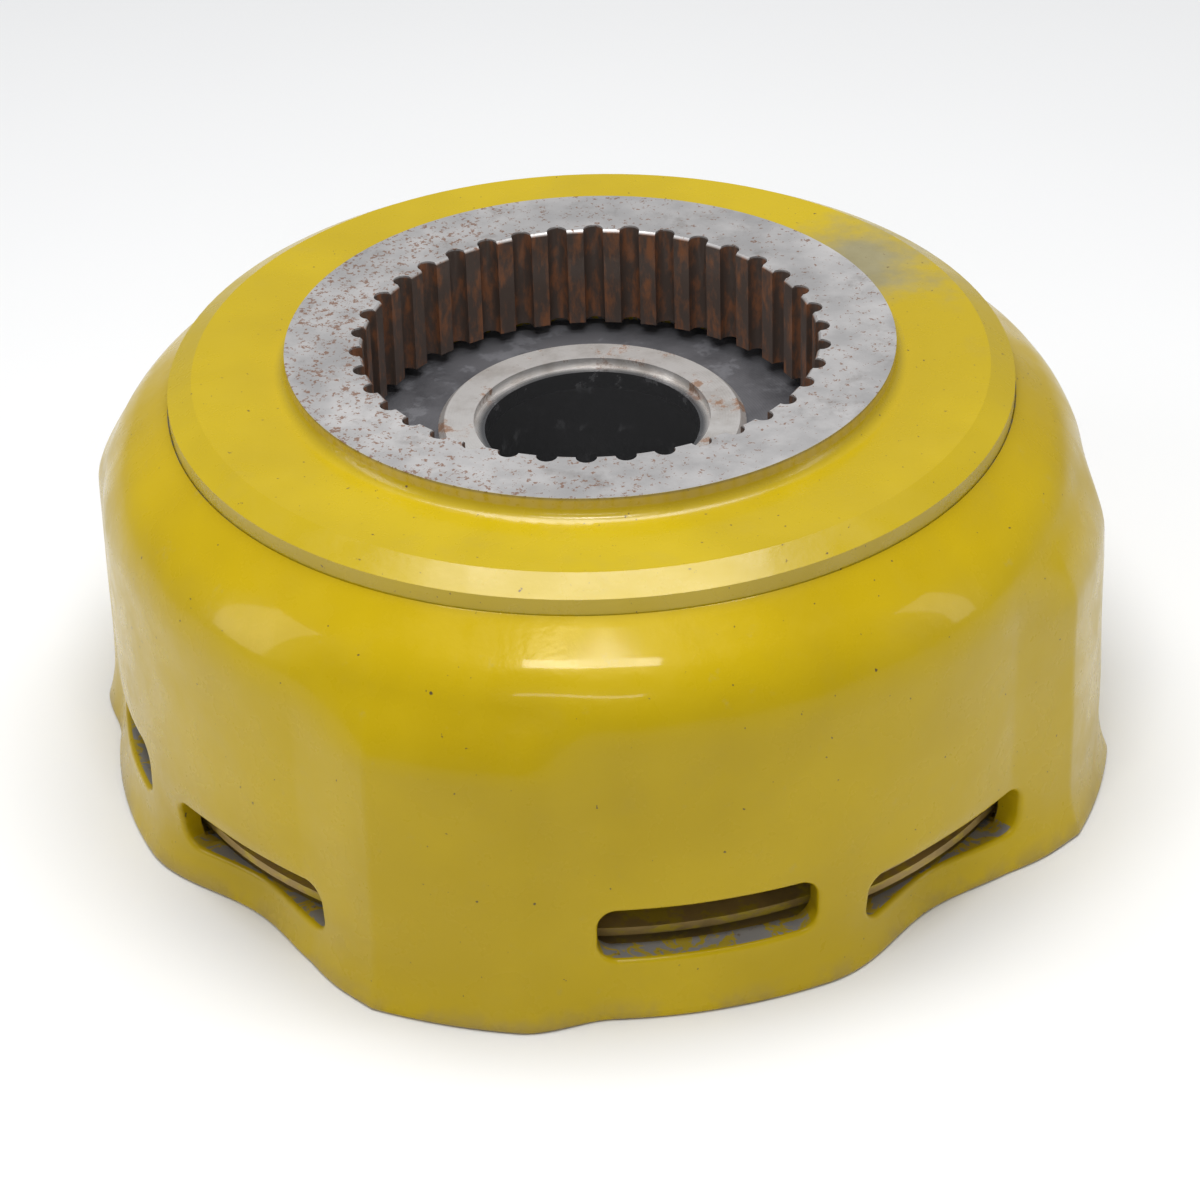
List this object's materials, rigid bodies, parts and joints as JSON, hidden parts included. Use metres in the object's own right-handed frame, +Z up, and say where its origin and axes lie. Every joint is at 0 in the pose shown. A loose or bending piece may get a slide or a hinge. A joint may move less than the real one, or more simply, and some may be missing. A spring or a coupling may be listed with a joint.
{
  "type": "slip coupling",
  "caption": "Lobed bell-shaped slip coupling with an internal spline socket on top, a bored hub inside and a friction plate pack seen through side windows.",
  "frame": {"origin": "centre of the drum's lower rim, in the plane it stands on", "axes": "+Z up along the coupling's axis, towards the splined ring; +X and +Y are square to it, with the first lobe 17.5 degrees below +X"},
  "size_m": [0.4395, 0.4396, 0.194],
  "materials": {
    "yellow_paint": "gloss enamel over cast steel, chipped and dusty in places",
    "flange_paint_and_steel": "gloss enamel with a bare ground top face and rusty spline teeth",
    "machined_steel": "turned, with light rust",
    "plate_steel": "ground, dull",
    "bearing_steel": "polished",
    "cage_brass": "machined",
    "spring_steel": "blackened, oiled",
    "bronze_lining": "sintered, porous",
    "black_screw": "black oxide"
  },
  "bodies": {
    "drum": {"lobed_drum": "yellow_paint", "drive_flange": "flange_paint_and_steel", "flange_screws": "black_screw", "bearing_outer_ring": "bearing_steel", "bearing_circlip": "spring_steel", "outer_plate_1": "plate_steel", "outer_plate_2": "plate_steel", "outer_plate_3": "plate_steel"},
    "hub": {"hub": "machined_steel", "end_plate": "machined_steel", "end_plate_screws": "black_screw", "bearing_inner_ring": "bearing_steel", "bearing_spacer": "machined_steel", "spring_retaining_ring": "spring_steel", "spring_plate": "machined_steel", "disc_spring_1": "spring_steel", "disc_spring_2": "spring_steel", "disc_spring_3": "spring_steel", "disc_spring_4": "spring_steel", "inner_plate_1": "plate_steel", "lining_pair_1": "bronze_lining", "inner_plate_2": "plate_steel", "lining_pair_2": "bronze_lining", "inner_plate_3": "plate_steel", "lining_pair_3": "bronze_lining", "inner_plate_4": "plate_steel", "lining_pair_4": "bronze_lining"},
    "ball_set": {"bearing_cage": "cage_brass", "bearing_balls": "bearing_steel"},
    "pressure_plate": {"pressure_plate": "plate_steel"}
  },
  "joints": [
    {"name": "hub_slip", "type": "hinge", "parent": "drum", "child": "hub", "pos_m": [0, 0, 0.115], "axis": [0, 0, 1], "continuous": true},
    {"name": "ball_set_roll", "type": "hinge", "parent": "drum", "child": "ball_set", "pos_m": [0, 0, 0.115], "axis": [0, 0, 1], "continuous": true},
    {"name": "pressure_plate_travel", "type": "slide", "parent": "hub", "child": "pressure_plate", "axis": [0, 0, 1], "range_m": [0, 0.0015], "deforming": ["disc_spring_1", "disc_spring_2", "disc_spring_3", "disc_spring_4"]}
  ],
  "couplings": [
    {"joint": "ball_set_roll", "follows": "hub_slip", "ratio": 0.4565}
  ]
}
